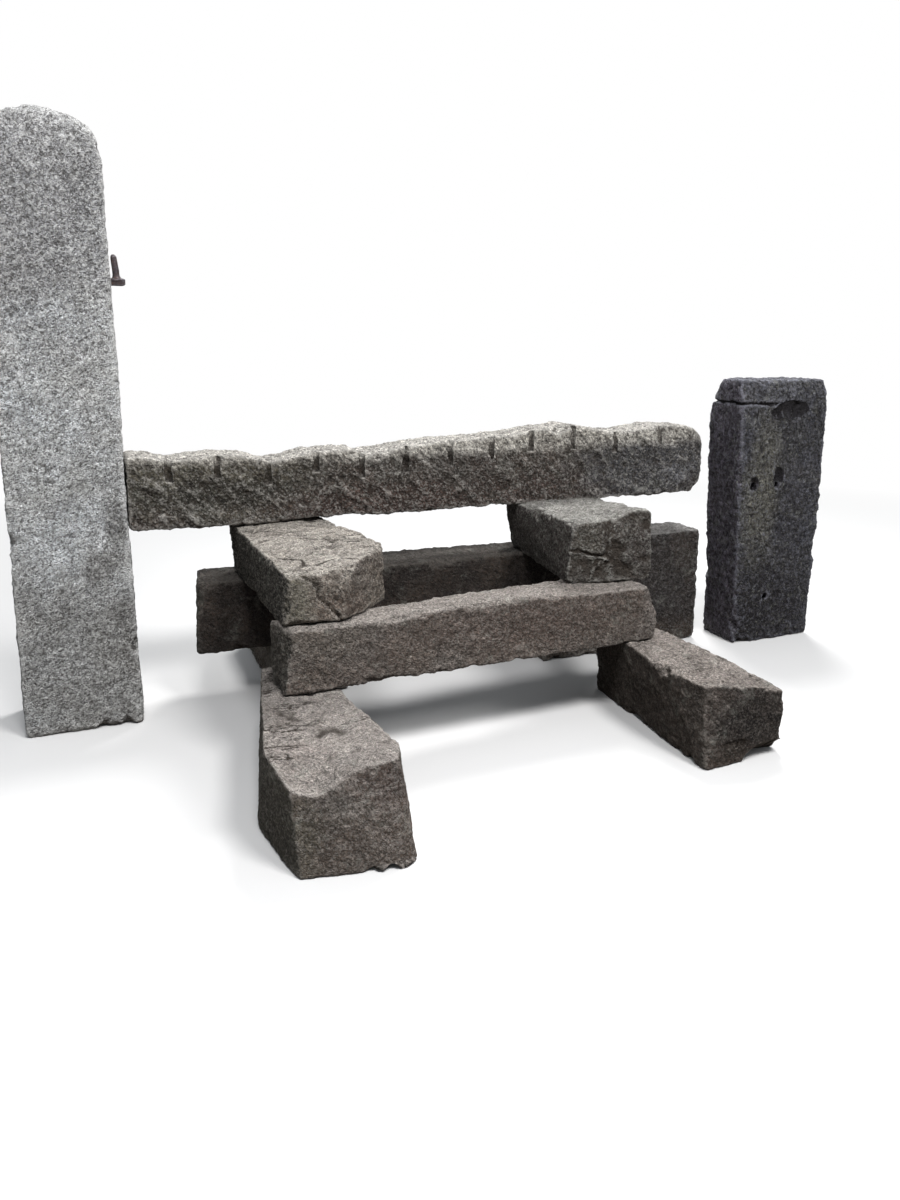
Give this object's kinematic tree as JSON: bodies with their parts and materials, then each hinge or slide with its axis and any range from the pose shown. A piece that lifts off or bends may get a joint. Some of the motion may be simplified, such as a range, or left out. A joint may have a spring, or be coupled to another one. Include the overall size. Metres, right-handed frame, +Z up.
{
  "type": "stone wall stile",
  "caption": "Rough granite through-stones stacked crosswise on long bearers as steps up to a drilled stone rail, between standing gateposts with an iron hook.",
  "frame": {"origin": "centre of the whole stile's bounding box, at ground level", "axes": "+X along the rail from the hooked gatepost to the shorter gatepost, +Y from the side that the picture shows to the far side, +Z up"},
  "size_m": [3.2828, 1.9178, 1.972],
  "materials": {
    "pale_granite": "matte",
    "lichened_granite": "matte",
    "brown_granite": "matte",
    "buff_granite": "matte",
    "dark_granite": "matte",
    "wrought_iron": "matte"
  },
  "bodies": {
    "root": {"left_gatepost": "pale_granite", "right_gatepost": "lichened_granite", "gate_hook": "wrought_iron", "top_rail": "brown_granite", "left_high_step": "buff_granite", "right_high_step": "brown_granite", "front_bearer": "brown_granite", "back_bearer": "dark_granite", "left_low_step": "buff_granite", "right_low_step": "buff_granite", "left_back_step": "dark_granite", "right_back_step": "dark_granite", "right_end_block": "dark_granite"}
  },
  "joints": []
}
